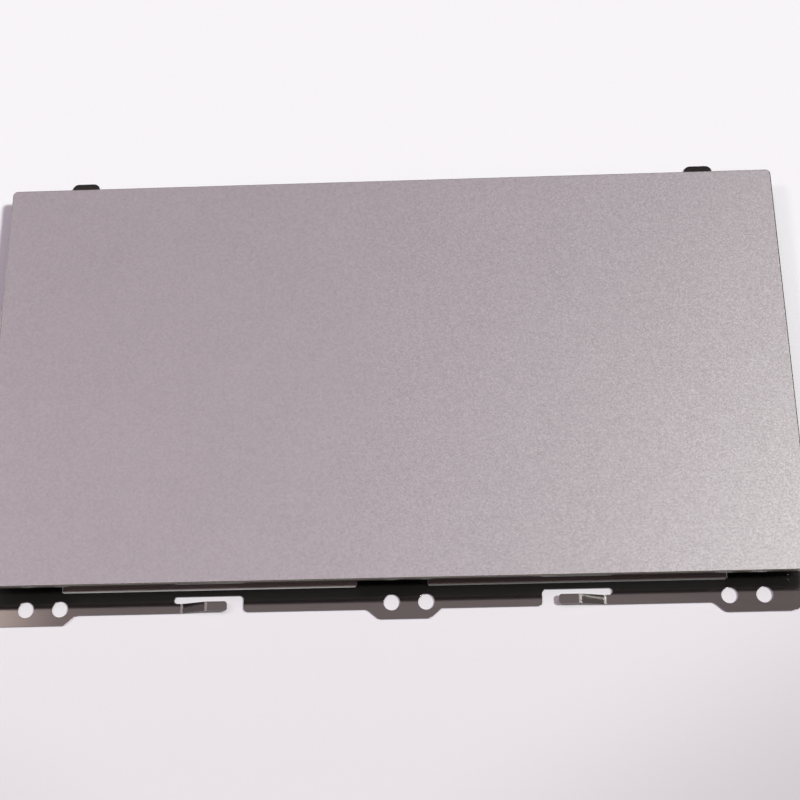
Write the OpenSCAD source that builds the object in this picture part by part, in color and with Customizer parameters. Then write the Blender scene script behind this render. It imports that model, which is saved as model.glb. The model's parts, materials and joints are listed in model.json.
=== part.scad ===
// Clickable touch pad module for a portable computer.
// A painted touch plate and its sensor board tilt on two spring leaves above a flat stamped bracket.
// Millimetres. +X to the right, +Y to the rear, +Z up. The bracket lies on z = 0.

/* [Touch plate] */
// Width of the touch plate, left to right
plate_w = 120; // [104:0.5:140]
// Depth of the touch plate, front to rear
plate_d = 66.6; // [50:0.1:90]
// Thickness of the touch plate
plate_t = 0.5; // [0.3:0.05:1]
// Radius of the plate's corners, seen from above
plate_corner_r = 0.8; // [0.6:0.1:4]
// Bevel along the plate's top edge
plate_bevel = 0.15; // [0.05:0.01:0.25]

/* [Sensor board] */
// Thickness of the adhesive between plate and board
adhesive_t = 0.1; // [0.05:0.01:0.3]
// How far the adhesive stays inside the plate's edge
adhesive_inset = 0.5; // [0.2:0.1:2]
// Thickness of the sensor board
board_t = 0.8; // [0.5:0.05:1.6]
// How far the board stays inside the plate's edge
board_inset = 0.25; // [0.1:0.05:1]

/* [Bracket sheet] */
// Thickness of the bracket's sheet steel
sheet_t = 0.3; // [0.2:0.05:0.6]
// Free height between the bracket and the sensor board
pad_gap = 3.25; // [2.9:0.05:5]
// How far the front flange reaches past the plate
flange_reach = 3; // [2.9:0.1:5]
// How far the bracket's sides stay inside the plate's sides
bracket_side_inset = 1; // [0.2:0.1:2]
// How far the bracket's rear edge stays inside the plate's rear edge
bracket_rear_inset = 1; // [0.2:0.1:2]
// Radius of the bracket's outer corners
bracket_corner_r = 2; // [1:0.1:4]
// Depth of the front beam behind the relief slots
front_beam = 10; // [9:0.5:14]
// Depth of the rear beam
rear_beam = 11; // [10.5:0.5:15]
// Width of each side beam
side_beam = 9.2; // [6:0.1:14]
// Width of the spine between the two windows
spine_w = 11; // [6:0.5:20]
// Corner radius of the windows
window_r = 3; // [1:0.5:6]
// Width of the stiffening beads pressed into the beams
bead_w = 1.8; // [1.2:0.1:3]
// Height of the stiffening beads above the sheet
bead_h = 0.4; // [0.2:0.05:0.8]
// How far a bead's ends stay from what lies beyond them
bead_margin = 3; // [1:0.5:6]

/* [Screw lugs] */
// How far the screw lugs reach past the plate
lug_reach = 4.5; // [4.2:0.1:7]
// Diameter of the screw holes
hole_d = 2.4; // [1.6:0.1:3]
// Distance between the two holes of a lug
hole_pitch = 5; // [4:0.1:7]
// How far the hole centres lie in front of the plate
hole_reach = 2; // [1.7:0.1:3]
// Outer hole pairs, from the plate's side to the pair's middle
outer_pair_inset = 9.05; // [7:0.05:12]
// Centre hole pair, from the middle of the plate to the pair's middle
centre_pair_x = 2.4; // [-3:0.1:3]
// Lug edge of an outer lug, from its pair's middle inwards
outer_lug_in = 3.2; // [2:0.05:5]
// Lug edge of the centre lug, from its pair's middle to the left
centre_lug_left = 4.4; // [2:0.1:5]
// Lug edge of the centre lug, from its pair's middle to the right
centre_lug_right = 3; // [2:0.05:5]
// Run of the slanted edge from lug to flange
lug_slant = 1.7; // [1.6:0.1:4]
// Fillet radius of the lugs' slanted edges
lug_fillet = 1.2; // [0.4:0.1:1.5]

/* [Relief slots] */
// How far the slots start behind the plate's front edge
slot_setback = 0.42; // [0.2:0.02:1]
// Width of the relief slots
slot_w = 2; // [1:0.1:4]
// Corner radius of the relief slots
slot_r = 0.3; // [0.1:0.05:0.45]
// Half the width of the web between the two slots
centre_web_half = 5.15; // [3.5:0.05:8]
// Inner edge of the outer webs, from the outer pair's middle inwards
outer_web_in = 2.65; // [1:0.05:6]

/* [Grounding arms] */
// Width of a grounding arm
arm_w = 1.46; // [1:0.02:1.6]
// Width of the slot behind an arm
arm_slot_w = 1.04; // [0.6:0.02:1.1]
// Arm's root crease, from the plate's side
arm_root_inset = 29.15; // [26:0.05:32]
// Length of the slot past the root crease
arm_slot_past_root = 0.9; // [0.6:0.05:3]
// Length of the sloping stretch, along the flange
arm_slope_l = 3.85; // [2:0.05:6]
// Length of the flat free end
arm_end_l = 3.05; // [1.5:0.05:5]
// Opening between the arm's free end and the flange
arm_end_gap = 2.35; // [0.8:0.05:4]
// How far the free end stands above the flange
arm_rise = 0.85; // [0.3:0.05:1.5]
// Corner radius of the arm's free end
arm_end_r = 0.45; // [0.1:0.05:0.6]
// Corner radius of the cut-out around an arm
arm_cut_r = 0.65; // [0.3:0.05:1]

/* [Rear tabs] */
// How far the rear tabs reach past the plate
tab_reach = 3.85; // [2:0.05:6]
// Width of a rear tab
tab_w = 4.4; // [3:0.1:8]
// Tab's outer edge, from the plate's side
tab_inset = 8.4; // [5:0.1:14]
// Corner radius of the tabs
tab_r = 1; // [0.3:0.1:1.4]

/* [Hinge leaves] */
// Thickness of the leaf's spring steel
leaf_t = 0.2; // [0.1:0.05:0.3]
// Width of a leaf
leaf_w = 12; // [8:0.5:18]
// Leaf's middle, from the plate's side
leaf_inset = 18; // [14:0.5:26]
// Length of the lower foot, riveted to the rear beam
leaf_foot_l = 4; // [3.2:0.1:5]
// Length of the rising stretch, along the bracket
leaf_rise_l = 2.2; // [1.5:0.1:3]
// Length of the upper foot, taped to the board
leaf_top_l = 3; // [2:0.1:4]
// Thickness of the tape between leaf and board
tape_t = 0.15; // [0.05:0.05:0.3]
// Distance between the two rivets of a leaf
rivet_pitch = 7; // [4:0.5:9]
// Diameter of a rivet's head
rivet_head_d = 2.6; // [1.8:0.1:3]
// Height of a rivet's head
rivet_head_h = 0.45; // [0.2:0.05:0.8]
// Diameter of a rivet's shank
rivet_d = 1.5; // [1:0.1:1.7]

/* [Click switch] */
// Side of the square switch body
switch_w = 4.5; // [4:0.1:6]
// Height of the switch base
switch_base_h = 1.2; // [1.1:0.05:1.5]
// Thickness of the cavity's floor
switch_floor = 0.3; // [0.2:0.05:0.4]
// Diameter of the switch cavity
switch_cavity_d = 3.6; // [3.2:0.1:3.8]
// Thickness of the sheet steel cover
switch_cover_t = 0.15; // [0.1:0.01:0.2]
// Diameter of the plunger's stem
plunger_d = 2.2; // [1.6:0.1:2.6]
// Diameter of the plunger's collar inside the cavity
plunger_collar_d = 3.1; // [2.8:0.1:3.1]
// Thickness of the plunger's collar
plunger_collar_h = 0.22; // [0.15:0.01:0.25]
// How far the stem stands out of the cover
plunger_out = 0.85; // [0.6:0.05:1.1]
// Crown height of the metal dome
dome_h = 0.42; // [0.3:0.01:0.45]
// Thickness of the metal dome
dome_t = 0.08; // [0.05:0.01:0.1]
// Travel of the switch
switch_travel = 0.3; // [0.15:0.01:0.35]
// Diameter of the striker stud's head
striker_d = 4; // [3:0.1:6]
// Diameter of the striker stud's shank
striker_shank_d = 2; // [1.5:0.1:2.6]

/* [Cable socket] */
// Number of contacts in the socket
contact_count = 10; // [6:1:16]
// Distance from contact to contact
contact_pitch = 0.5; // [0.5:0.05:0.8]
// Height of the socket housing
socket_h = 1.15; // [1.1:0.05:1.6]
// Depth of the socket housing
socket_d = 3.7; // [3.4:0.1:5]
// Height of the gap that the flat cable enters
cable_gap = 0.36; // [0.3:0.02:0.4]
// Thickness of the housing's floor
socket_floor = 0.25; // [0.2:0.01:0.3]
// Thickness of each housing cheek
socket_cheek = 0.9; // [0.7:0.05:1.2]
// Depth of the housing's solid back
socket_back = 1; // [0.8:0.05:1.1]
// Length of the contacts' solder tails
contact_tail = 0.5; // [0.3:0.05:0.8]
// Length of the solder anchors beside the housing
anchor_l = 1.4; // [0.8:0.1:2]
// Radius of the latch's pivot pins
latch_pin_r = 0.18; // [0.12:0.01:0.2]
// Socket's middle, right of the left window's middle
socket_x = 8; // [4:0.5:9]
// Socket's middle, behind the windows' middle
socket_y = 6; // [2:0.5:9]

/* [Chips] */
// Side of the square touch controller
controller_w = 7; // [5:0.5:9]
// Height of the touch controller
controller_h = 0.85; // [0.6:0.05:1.1]
// Controller's middle, left of the right window's middle
controller_x = 6; // [0:0.5:8]
// Leads along each side of the controller
controller_leads = 12; // [6:1:12]
// Thickness of the leads and solder feet
lead_t = 0.15; // [0.1:0.01:0.2]
// Length of a small chip's body
small_chip_l = 2.9; // [2:0.1:3.2]
// Width of a small chip's body
small_chip_w = 1.6; // [1.2:0.1:1.8]
// Height of a small chip's body
small_chip_h = 1; // [0.6:0.05:1.2]
// Length of a capacitor
capacitor_l = 1.6; // [1:0.1:1.8]
// Width and height of a capacitor
capacitor_w = 0.8; // [0.5:0.1:0.9]
// Length of a resistor
resistor_l = 1; // [0.8:0.1:1.6]
// Width of a resistor
resistor_w = 0.5; // [0.4:0.1:0.8]
// Height of a resistor
resistor_h = 0.35; // [0.25:0.05:0.5]
// Distance from one small part to the next in a row
part_pitch = 1.8; // [1.5:0.1:2.4]
// Distance from a chip's side to the row of small parts beside it
row_gap = 2.2; // [2:0.1:3]
// Distance from one row of small parts to the next
row_pitch = 2.6; // [2.5:0.1:3.5]

/* [Stops and film] */
// Length of a rubber stop pad
stop_l = 7; // [4:0.5:12]
// Width of a rubber stop pad
stop_w = 4; // [2.5:0.1:6]
// Corner radius of a rubber stop pad
stop_r = 0.8; // [0.3:0.1:1.2]
// Stop pad's middle, from the plate's side
stop_inset = 22; // [14:0.5:30]
// Thickness of the insulating film on the bracket
film_t = 0.08; // [0.04:0.01:0.15]
// How far the film stays inside the bracket's edges
film_margin = 1.2; // [0.6:0.1:2]

/* [Clearances] */
// Clearance between pieces that move past each other
run_clear = 0.04; // [0.02:0.01:0.06]
// Clearance between pieces that are set into each other
set_clear = 0.02; // [0.01:0.01:0.04]
// Room that stays under the board at full click
stop_clear = 0.15; // [0.1:0.01:0.3]

/* [Hidden] */
$fn = 48;
arc_steps = 6;
// Rounded ends of a strip: corner radius as a share of the strip's width.
round_end = 0.49;
min_corner = 0.1;

// Places along Y: the origin is the middle of the whole outline.
total_d = lug_reach + plate_d + tab_reach;
plate_front = lug_reach - total_d / 2;
plate_rear = plate_front + plate_d;
plate_mid = (plate_front + plate_rear) / 2;
lug_front = plate_front - lug_reach;
flange_front = plate_front - flange_reach;
hole_y = plate_front - hole_reach;
bracket_rear = plate_rear - bracket_rear_inset;
tab_rear = plate_rear + tab_reach;
slot_front = plate_front + slot_setback;
beam_front = slot_front + slot_w;
window_front = beam_front + front_beam;
window_rear = bracket_rear - rear_beam;
window_mid = (window_front + window_rear) / 2;
beam_mid = beam_front + front_beam / 2;

// Places along X, on the right-hand side.
plate_side = plate_w / 2;
bracket_side = plate_side - bracket_side_inset;
outer_pair_x = plate_side - outer_pair_inset;
outer_lug_x = outer_pair_x - outer_lug_in;
outer_web_x = outer_pair_x - outer_web_in;
arm_root_x = plate_side - arm_root_inset;
arm_tip_x = arm_root_x - arm_slope_l - arm_end_l;
arm_wall_x = arm_tip_x - arm_end_gap;
arm_rear = flange_front + arm_w;
arm_slot_rear = arm_rear + arm_slot_w;
tab_out_x = plate_side - tab_inset;
tab_in_x = tab_out_x - tab_w;
window_side = bracket_side - side_beam;
window_x = (spine_w / 2 + window_side) / 2;
window_w = window_side - spine_w / 2;
beam_side_x = (window_side + bracket_side) / 2;
leaf_x = plate_side - leaf_inset;
stop_x = plate_side - stop_inset;

// Heights.
board_under = sheet_t + pad_gap;
board_top = board_under + board_t;
plate_under = board_top + adhesive_t;
tape_under = board_under - tape_t;

// Hinge leaf: its upper foot ends in line with the bracket's rear edge.
leaf_top_rear = bracket_rear - set_clear;
leaf_top_front = leaf_top_rear - leaf_top_l;
leaf_foot_rear = leaf_top_front - leaf_rise_l;
leaf_foot_front = leaf_foot_rear - leaf_foot_l;
leaf_rise = tape_under - set_clear - sheet_t - leaf_t;
rivet_y = (leaf_foot_front + leaf_foot_rear) / 2 - leaf_t;

// Click switch: depths are counted down from the board.
cover_out = switch_base_h + set_clear + switch_cover_t;
plunger_tip = cover_out + plunger_out;
striker_top = board_under - plunger_tip - run_clear;
collar_out = switch_base_h - set_clear;
collar_in = collar_out - plunger_collar_h;
dome_crown = switch_floor + set_clear + dome_h;
dome_d = switch_cavity_d - 4 * run_clear;

// Cable socket: depths are counted down from the board, the mouth faces the rear.
contact_span = (contact_count - 1) * contact_pitch;
contact_w = contact_pitch * 0.4;
latch_w = contact_span + 4 * contact_pitch;
socket_w = latch_w + 2 * (run_clear + socket_cheek);
socket_mid_x = socket_x - window_x;
socket_mid_y = window_mid + socket_y;
latch_in = socket_floor + cable_gap;
latch_h = socket_h - latch_in;
latch_pivot_depth = latch_in + latch_h / 2;
latch_heel = latch_h * 0.7;
latch_back_gap = norm([latch_heel, latch_h / 2]) + run_clear;
latch_pivot_y = socket_back + latch_back_gap - socket_d / 2;
anchor_h = socket_h * 0.8;

controller_mid_x = window_x - controller_x;

function unit(v) = v / norm(v);

// Points of the arc that rounds corner b, between its neighbours a and c, with radius r.
function corner_arc(a, b, c, r) =
    let (u = unit(a - b), w = unit(c - b))
    let (half = acos(max(-1, min(1, u * w))) / 2)
    let (hub = b + unit(u + w) * r / sin(half))
    let (p = b + u * r / tan(half) - hub, q = b + w * r / tan(half) - hub)
    let (first = atan2(p[1], p[0]), turn = atan2(q[1], q[0]) - first)
    let (sweep = turn > 180 ? turn - 360 : turn < -180 ? turn + 360 : turn)
    [for (i = [0 : arc_steps])
        let (a = first + sweep * i / arc_steps)
        hub + r * [cos(a), sin(a)]];

// Outline through corners given as [x, y, radius].
function rounded_outline(corners) =
    let (n = len(corners), xy = [for (k = corners) [k[0], k[1]]])
    [for (i = [0 : n - 1])
        each corners[i][2] > 0
            ? corner_arc(xy[(i + n - 1) % n], xy[i], xy[(i + 1) % n], corners[i][2])
            : [xy[i]]];

// The same corners on the left-hand side, in the order of the outline.
function mirrored(corners) =
    [for (i = [len(corners) - 1 : -1 : 0]) [-corners[i][0], corners[i][1], corners[i][2]]];

// Side view of a strip with a foot, a rising stretch and a flat end.
function joggle_profile(foot, run, end, rise, t) =
    let (shift = t * tan(atan2(rise, run) / 2))
    [[0, 0], [foot, 0], [foot + run, rise], [foot + run + end, rise],
     [foot + run + end, rise + t], [foot + run - shift, rise + t], [foot - shift, t], [0, t]];

module rounded_rectangle(w, d, r) {
    polygon(rounded_outline([
        [-w / 2, -d / 2, r],
        [w / 2, -d / 2, r],
        [w / 2, d / 2, r],
        [-w / 2, d / 2, r]]));
}

module plate_sheet(inset, t) {
    corner_r = max(plate_corner_r - inset, min_corner);
    translate([0, plate_mid, 0])
        linear_extrude(t)
            rounded_rectangle(plate_w - 2 * inset, plate_d - 2 * inset, corner_r);
}

// Puts children on the underside of the board, built downwards.
module under_board(x, y) {
    translate([x, y, board_under])
        mirror([0, 0, 1])
            children();
}

module block(w, d, h, x = 0, y = 0, z = 0) {
    translate([x - w / 2, y - d / 2, z])
        cube([w, d, h]);
}

module both_sides() {
    children();
    mirror([1, 0, 0])
        children();
}

// Front edge of the bracket around the right-hand arm, from the middle outwards.
arm_corners = [
    [arm_wall_x, flange_front, arm_cut_r],
    [arm_wall_x, arm_slot_rear, arm_cut_r],
    [arm_root_x + arm_slot_past_root, arm_slot_rear, arm_slot_w * round_end],
    [arm_root_x + arm_slot_past_root, arm_rear, arm_slot_w * round_end],
    [arm_root_x, arm_rear, 0],
    [arm_root_x, flange_front, 0]];

outer_lug_corners = [
    [outer_lug_x - lug_slant, flange_front, lug_fillet],
    [outer_lug_x, lug_front, lug_fillet],
    [bracket_side, lug_front, bracket_corner_r]];

centre_lug_corners = [
    [centre_pair_x - centre_lug_left - lug_slant, flange_front, lug_fillet],
    [centre_pair_x - centre_lug_left, lug_front, lug_fillet],
    [centre_pair_x + centre_lug_right, lug_front, lug_fillet],
    [centre_pair_x + centre_lug_right + lug_slant, flange_front, lug_fillet]];

rear_corners = [
    [bracket_side, bracket_rear, bracket_corner_r],
    [tab_out_x, bracket_rear, tab_r / 2],
    [tab_out_x, tab_rear, tab_r],
    [tab_in_x, tab_rear, tab_r],
    [tab_in_x, bracket_rear, tab_r / 2]];

bracket_corners = concat(
    mirrored(outer_lug_corners), mirrored(arm_corners), centre_lug_corners,
    arm_corners, outer_lug_corners, rear_corners, mirrored(rear_corners));

module relief_slot() {
    slot_l = outer_web_x - centre_web_half;
    translate([centre_web_half + slot_l / 2, slot_front + slot_w / 2])
        rounded_rectangle(slot_l, slot_w, slot_r);
}

module window() {
    translate([window_x, window_mid])
        rounded_rectangle(window_w, window_rear - window_front, window_r);
}

module screw_holes() {
    for (x = [-outer_pair_x, centre_pair_x, outer_pair_x], side = [-0.5, 0.5])
        translate([x + side * hole_pitch, hole_y])
            circle(d = hole_d);
}

module rivet_places() {
    for (side = [-0.5, 0.5])
        translate([leaf_x + side * rivet_pitch, rivet_y])
            children();
}

// Beads along the side beams and across the rear beam between the hinge leaves.
module bead_lines(w) {
    side_l = window_rear - window_front - 2 * bead_margin;
    rear_l = 2 * (leaf_x - leaf_w / 2 - bead_margin);
    both_sides()
        translate([beam_side_x, window_mid])
            rounded_rectangle(w, side_l, w * round_end);
    translate([0, (window_rear + bracket_rear) / 2])
        rounded_rectangle(rear_l, w, w * round_end);
}

module sheet_outline() {
    difference() {
        polygon(rounded_outline(bracket_corners));
        screw_holes();
        both_sides()
            relief_slot();
        both_sides()
            window();
        both_sides()
            rivet_places()
                circle(d = rivet_d + 2 * set_clear);
        translate([0, beam_mid])
            circle(d = striker_shank_d + 2 * set_clear);
    }
}

module bracket_plate() {
    color("dimgray")
        difference() {
            union() {
                linear_extrude(sheet_t)
                    sheet_outline();
                linear_extrude(sheet_t + bead_h)
                    bead_lines(bead_w);
            }
            translate([0, 0, -sheet_t])
                linear_extrude(sheet_t + bead_h)
                    bead_lines(bead_w - 2 * sheet_t);
        }
}

// Right-hand arm: the strip rises from its root crease towards the middle.
module ground_arm() {
    foot = 2 * set_clear + sheet_t / 2;
    reach = arm_slope_l + arm_end_l;
    side_view = joggle_profile(foot, arm_slope_l - foot, arm_end_l - set_clear, arm_rise, sheet_t);
    color("gray")
        intersection() {
            translate([arm_root_x - set_clear, arm_rear, 0])
                rotate([90, 0, 0])
                    mirror([1, 0, 0])
                        linear_extrude(arm_w)
                            polygon(side_view);
            linear_extrude(arm_rise + 2 * sheet_t)
                polygon(rounded_outline([
                    [arm_root_x - reach, flange_front, arm_end_r],
                    [arm_root_x, flange_front, 0],
                    [arm_root_x, arm_rear, 0],
                    [arm_root_x - reach, arm_rear, arm_end_r]]));
        }
}

module ground_arm_left() {
    mirror([1, 0, 0])
        ground_arm();
}

module ground_arm_right() {
    ground_arm();
}

module hinge_leaf() {
    color("silver")
        difference() {
            translate([leaf_x - leaf_w / 2, leaf_foot_front, sheet_t])
                rotate([90, 0, 90])
                    linear_extrude(leaf_w)
                        polygon(joggle_profile(leaf_foot_l, leaf_rise_l, leaf_top_l, leaf_rise, leaf_t));
            rivet_places()
                translate([0, 0, sheet_t - leaf_t])
                    cylinder(d = rivet_d + 2 * set_clear, h = 3 * leaf_t);
        }
}

module hinge_leaf_left() {
    mirror([1, 0, 0])
        hinge_leaf();
}

module hinge_leaf_right() {
    hinge_leaf();
}

module leaf_rivets() {
    head_top_d = rivet_head_d * 0.75;
    color("lightgray")
        both_sides()
            rivet_places() {
                cylinder(d = rivet_d, h = sheet_t + leaf_t + rivet_head_h / 2);
                translate([0, 0, sheet_t + leaf_t])
                    cylinder(d1 = rivet_head_d, d2 = head_top_d, h = rivet_head_h);
            }
}

module striker_stud() {
    color("goldenrod")
        translate([0, beam_mid, 0]) {
            cylinder(d = striker_shank_d, h = sheet_t + film_t);
            translate([0, 0, sheet_t])
                cylinder(d = striker_d, h = striker_top - sheet_t);
        }
}

module stop_pads() {
    color("black")
        both_sides()
            translate([stop_x, beam_mid, sheet_t])
                linear_extrude(pad_gap - switch_travel - stop_clear)
                    rounded_rectangle(stop_l, stop_w, stop_r);
}

// Film along the front beam and the spine, with a round hole for the striker.
module bracket_film() {
    film_half = stop_x - stop_l / 2 - film_margin;
    film_corner = film_margin / 2;
    spine_half = spine_w / 2 - film_margin;
    film_front = beam_front + film_margin;
    film_step = window_front - film_margin;
    film_rear = window_rear + film_margin;
    right_corners = [
        [film_half, film_front, film_corner],
        [film_half, film_step, film_corner],
        [spine_half, film_step, film_corner],
        [spine_half, film_rear, film_corner]];
    color("#202020")
        translate([0, 0, sheet_t])
            linear_extrude(film_t)
                difference() {
                    polygon(rounded_outline(concat(right_corners, mirrored(right_corners))));
                    translate([0, beam_mid])
                        circle(d = striker_d + 2 * film_margin);
                }
}

module touch_plate() {
    color("#ada4a8")
        translate([0, 0, plate_under])
            hull() {
                plate_sheet(0, plate_t - plate_bevel);
                plate_sheet(plate_bevel, plate_t);
            }
}

module plate_adhesive() {
    color("#303030")
        translate([0, 0, board_top])
            plate_sheet(adhesive_inset, adhesive_t);
}

module sensor_board() {
    color("#1c1f1c")
        translate([0, 0, board_under])
            plate_sheet(board_inset, board_t);
}

module hinge_tapes() {
    color("dimgray")
        both_sides()
            under_board(leaf_x, (leaf_top_front + leaf_top_rear) / 2)
                block(leaf_w, leaf_top_l, tape_t);
}

module touch_controller() {
    corner_room = 0.5;
    lead_pitch = (controller_w - 2 * corner_room) / (controller_leads - 1);
    first_lead = corner_room - controller_w / 2;
    dot_d = 0.7;
    dot_depth = 0.05;
    dot_at = controller_w / 2 - 2 * corner_room;
    color("#181818")
        under_board(controller_mid_x, window_mid)
            difference() {
                union() {
                    block(controller_w, controller_w, controller_h);
                    for (turn = [0, 90], i = [0 : controller_leads - 1])
                        rotate(turn)
                            translate([first_lead + i * lead_pitch, 0, 0])
                                block(lead_pitch / 2, controller_w + lead_t, lead_t);
                }
                translate([-dot_at, dot_at, controller_h - dot_depth])
                    cylinder(d = dot_d, h = 2 * dot_depth);
            }
}

// Small chip with three legs that bend down its sides and out along the board.
module small_chip() {
    leg_w = 0.4;
    leg_out = 0.45;
    leg_x = small_chip_l / 3;
    block(small_chip_l, small_chip_w, small_chip_h - lead_t, z = lead_t);
    for (leg = [[-leg_x, 1], [leg_x, 1], [0, -1]])
        translate([leg[0], leg[1] * small_chip_w / 2, 0]) {
            block(leg_w, leg_out, lead_t, y = leg[1] * leg_out / 2);
            block(leg_w, lead_t, small_chip_h / 2, y = leg[1] * lead_t / 2);
        }
}

// Two chips beside the controller and two at the socket.
chip_column_x = controller_mid_x + controller_w / 2 + row_gap + small_chip_l / 2;
chip_row_y = socket_mid_y - socket_d / 2 - row_gap - small_chip_w / 2;
small_chip_places = concat(
    [for (side = [-1, 1]) [chip_column_x, window_mid + side * (small_chip_w + row_gap) / 2]],
    [for (side = [-1, 1]) [socket_mid_x + side * (small_chip_l + row_gap) / 2, chip_row_y]]);

module small_chips() {
    color("#141414")
        for (p = small_chip_places)
            under_board(p[0], p[1])
                small_chip();
}

// A row of places along X or along Y, centred on the middle given.
function row_steps(count) = [for (i = [0 : count - 1]) (i - (count - 1) / 2) * part_pitch];
function row_along_x(count, x, y) = [for (step = row_steps(count)) [x + step, y]];
function row_along_y(count, x, y) = [for (step = row_steps(count)) [x, y + step]];

controller_row = controller_w / 2 + row_gap;
socket_row_y = chip_row_y - small_chip_w / 2 - row_gap;
socket_column_x = socket_mid_x - socket_w / 2 - anchor_l - row_gap;

// Capacitors in rows before and behind the controller and in front of the socket.
capacitor_places = concat(
    row_along_x(6, controller_mid_x, window_mid - controller_row),
    row_along_x(6, controller_mid_x, window_mid + controller_row),
    row_along_x(5, socket_mid_x, socket_row_y - row_pitch));

module capacitors() {
    color("#a08868")
        for (p = capacitor_places)
            under_board(p[0], p[1])
                block(capacitor_w, capacitor_l, capacitor_w);
}

// Resistors beside the capacitors, and one for each sense line of the controller.
resistor_places = concat(
    row_along_x(7, socket_mid_x, socket_row_y),
    row_along_y(3, socket_column_x, socket_mid_y),
    row_along_y(4, controller_mid_x - controller_row, window_mid),
    row_along_x(8, controller_mid_x, window_mid - controller_row - row_pitch),
    row_along_x(8, controller_mid_x, window_mid + controller_row + row_pitch));

module resistors() {
    color("#101010")
        for (p = resistor_places)
            under_board(p[0], p[1])
                block(resistor_w, resistor_l, resistor_h);
}

module socket_housing() {
    cheek_x = latch_w / 2 + run_clear + socket_cheek / 2;
    pin_hole_l = latch_w + 4 * run_clear + socket_cheek;
    color("ivory")
        under_board(socket_mid_x, socket_mid_y)
            difference() {
                union() {
                    block(socket_w, socket_d, socket_floor);
                    block(socket_w, socket_back, socket_h, y = (socket_back - socket_d) / 2);
                    for (side = [-1, 1])
                        block(socket_cheek, socket_d, socket_h, x = side * cheek_x);
                }
                translate([-pin_hole_l / 2, latch_pivot_y, latch_pivot_depth])
                    rotate([0, 90, 0])
                        cylinder(r = latch_pin_r + run_clear, h = pin_hole_l);
                for (i = [0 : contact_count - 1])
                    translate([i * contact_pitch - contact_span / 2, -contact_tail, socket_floor - contact_w])
                        block(contact_w + 2 * set_clear, socket_d, contact_w + set_clear);
            }
}

// Contact springs lie in the floor's grooves and end in solder tails at the front.
module socket_contacts() {
    color("gold")
        under_board(socket_mid_x, socket_mid_y)
            for (i = [0 : contact_count - 1])
                translate([i * contact_pitch - contact_span / 2, -contact_tail - set_clear, 0]) {
                    translate([0, 0, socket_floor - contact_w + set_clear])
                        block(contact_w, socket_d, contact_w - set_clear);
                    translate([0, (contact_tail - socket_d) / 2, 0])
                        block(contact_w, contact_tail - set_clear, socket_floor);
                }
}

module socket_anchors() {
    color("silver")
        under_board(socket_mid_x, socket_mid_y)
            for (side = [-1, 1])
                translate([side * (socket_w / 2 + set_clear + lead_t / 2), 0, 0]) {
                    block(lead_t, anchor_l, anchor_h);
                    block(anchor_l, anchor_l, lead_t, x = side * (anchor_l - lead_t) / 2);
                }
}

module cable_latch() {
    lip_d = socket_d / 2 - latch_pivot_y;
    color("#2a2018")
        under_board(socket_mid_x, socket_mid_y)
            translate([0, latch_pivot_y, latch_pivot_depth]) {
                block(latch_w, latch_heel + lip_d, latch_h, y = (lip_d - latch_heel) / 2, z = -latch_h / 2);
                translate([-latch_w / 2 - socket_cheek / 2, 0, 0])
                    rotate([0, 90, 0])
                        cylinder(r = latch_pin_r, h = latch_w + socket_cheek);
            }
}

module switch_base() {
    color("#d8d0c0")
        under_board(0, beam_mid)
            difference() {
                block(switch_w, switch_w, switch_base_h);
                translate([0, 0, switch_floor])
                    cylinder(d = switch_cavity_d, h = switch_base_h);
            }
}

module switch_terminals() {
    terminal_w = 0.7;
    terminal_l = 1;
    color("silver")
        under_board(0, beam_mid)
            for (x = [-1, 1], y = [-1, 1])
                translate([x * switch_w / 3, y * (switch_w / 2 + set_clear), 0]) {
                    block(terminal_w, terminal_l, lead_t, y = y * terminal_l / 2);
                    block(terminal_w, lead_t, switch_base_h / 2, y = y * lead_t / 2);
                }
}

// Thin cap of a sphere, rim on the cavity's floor.
module switch_dome() {
    rim_r = dome_d / 2;
    ball_r = (rim_r * rim_r + dome_h * dome_h) / (2 * dome_h);
    color("lightgray")
        under_board(0, beam_mid)
            translate([0, 0, switch_floor + set_clear])
                difference() {
                    translate([0, 0, dome_h - ball_r])
                        sphere(r = ball_r);
                    translate([0, 0, dome_h - ball_r])
                        sphere(r = ball_r - dome_t);
                    translate([0, 0, -2 * ball_r])
                        cylinder(r = 2 * ball_r, h = 2 * ball_r);
                }
}

module switch_cover() {
    ear_w = switch_w / 3;
    ear_h = switch_base_h * 0.7;
    ear_span = switch_w + 2 * set_clear + 2 * switch_cover_t;
    color("gainsboro")
        under_board(0, beam_mid)
            difference() {
                union() {
                    block(switch_w, switch_w, switch_cover_t, z = cover_out - switch_cover_t);
                    block(ear_span, ear_w, switch_cover_t, z = cover_out - switch_cover_t);
                    for (side = [-1, 1])
                        translate([side * (ear_span - switch_cover_t) / 2, 0, cover_out - ear_h])
                            block(switch_cover_t, ear_w, ear_h);
                }
                cylinder(d = plunger_d + 2 * run_clear, h = 2 * cover_out);
            }
}

// Stem with a rounded tip, a collar that the cover holds in, and a nub on the dome.
module switch_plunger() {
    stem_r = plunger_d / 2;
    nub_r = stem_r / 2;
    collar_r = plunger_collar_d / 2;
    nub_in = dome_crown + set_clear;
    inner_profile = [
        [0, nub_in], [nub_r, nub_in], [nub_r, collar_in],
        [collar_r, collar_in], [collar_r, collar_out], [stem_r, collar_out]];
    tip_profile = [for (i = [0 : arc_steps])
        let (a = 90 * i / arc_steps)
        [nub_r + nub_r * cos(a), plunger_tip - nub_r + nub_r * sin(a)]];
    color("#b03020")
        under_board(0, beam_mid)
            rotate_extrude()
                polygon(concat(inner_profile, tip_profile, [[0, plunger_tip]]));
}

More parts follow.
